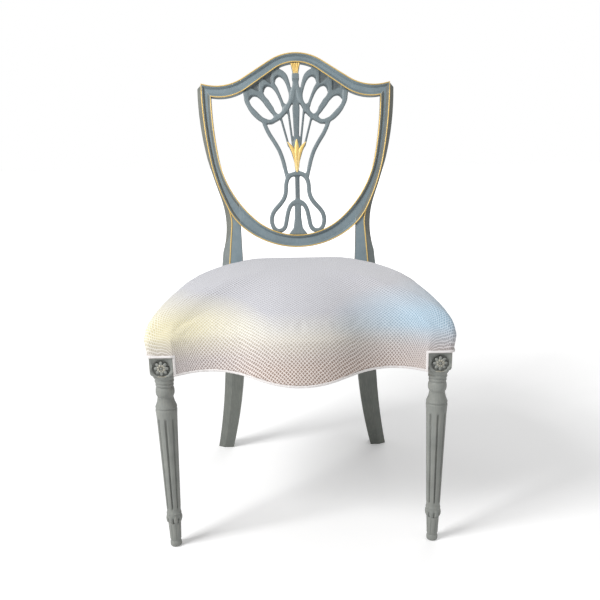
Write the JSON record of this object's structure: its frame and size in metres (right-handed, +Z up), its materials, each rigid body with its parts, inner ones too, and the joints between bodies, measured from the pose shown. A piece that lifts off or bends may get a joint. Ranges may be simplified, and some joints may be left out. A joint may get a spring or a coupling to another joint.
{
  "type": "shield back chair",
  "caption": "Side chair with a raked shield-shaped back, a pierced carved splat, turned and fluted front legs, splayed rear legs and a crowned upholstered seat.",
  "frame": {"origin": "middle of the outer box, on the floor under the chair", "axes": "+Z up, -Y towards the front of the seat, +X to the right seen from the front"},
  "size_m": [0.5726, 0.61, 0.9643],
  "materials": {
    "painted_wood": "slate blue-grey paint, worn, with thin gilded lines",
    "bare_wood": "planed, unfinished",
    "screw_steel": "plain",
    "webbing": "woven jute",
    "hessian": "open woven jute cloth",
    "padding": "wadding",
    "seat_fabric": "pale lilac-grey woven upholstery cloth",
    "piping_fabric": "off-white corded piping",
    "bottom_cloth": "black cambric"
  },
  "bodies": {
    "root": {"left_front_leg": "painted_wood", "right_front_leg": "painted_wood", "left_rear_stile": "painted_wood", "right_rear_stile": "painted_wood", "crest_rail": "painted_wood", "lower_shield_rail": "painted_wood", "splat": "painted_wood", "ear_dowels": "bare_wood", "front_seat_rail": "bare_wood", "rear_seat_rail": "bare_wood", "left_seat_rail": "bare_wood", "right_seat_rail": "bare_wood", "front_left_corner_block": "bare_wood", "front_right_corner_block": "bare_wood", "rear_left_corner_block": "bare_wood", "rear_right_corner_block": "bare_wood", "corner_block_screws": "screw_steel", "webbing_lengthwise": "webbing", "webbing_crosswise": "webbing", "hessian": "hessian", "seat_padding": "padding", "seat_cover": "seat_fabric", "piping": "piping_fabric", "dust_cover": "bottom_cloth"}
  },
  "joints": []
}
